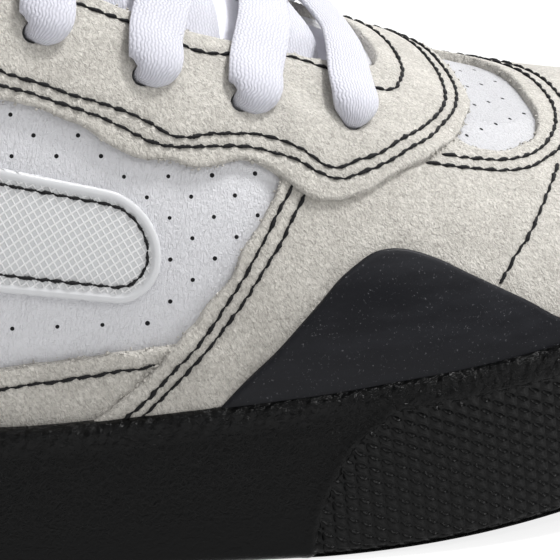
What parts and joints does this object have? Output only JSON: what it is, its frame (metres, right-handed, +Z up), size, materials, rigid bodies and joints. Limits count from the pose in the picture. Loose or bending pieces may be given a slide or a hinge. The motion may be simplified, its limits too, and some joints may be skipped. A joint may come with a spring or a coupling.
{
  "type": "skateboarding shoe",
  "caption": "Low right-foot skateboarding shoe with a suede and perforated leather upper on a rubber cup sole.",
  "frame": {"origin": "centre of the shoe's footprint at floor level", "axes": "+X to the toe, +Y to the medial (inner) side, +Z up from the floor"},
  "size_m": [0.2971, 0.107, 0.1262],
  "materials": {
    "sole_rubber": "satin, grained",
    "patch_rubber": "smooth satin",
    "white_leather": "fine grain",
    "suede": "napped suede",
    "panel_synthetic": "embossed crosshatch",
    "lace_textile": "flat weave",
    "tongue_textile": "padded textile",
    "lining_textile": "plain knit"
  },
  "bodies": {
    "root": {"cupsole": "sole_rubber", "insole": "lining_textile", "upper": "white_leather", "tongue": "tongue_textile", "eyestay": "suede", "vamp_overlay": "suede", "rand_strip": "suede", "rubber_patch": "patch_rubber", "side_panel_lateral": "panel_synthetic", "side_panel_medial": "panel_synthetic", "lace_bar": "lace_textile", "lace_cross_1": "lace_textile", "lace_cross_2": "lace_textile", "lace_cross_3": "lace_textile", "lace_cross_4": "lace_textile", "lace_cross_5": "lace_textile"}
  },
  "joints": []
}
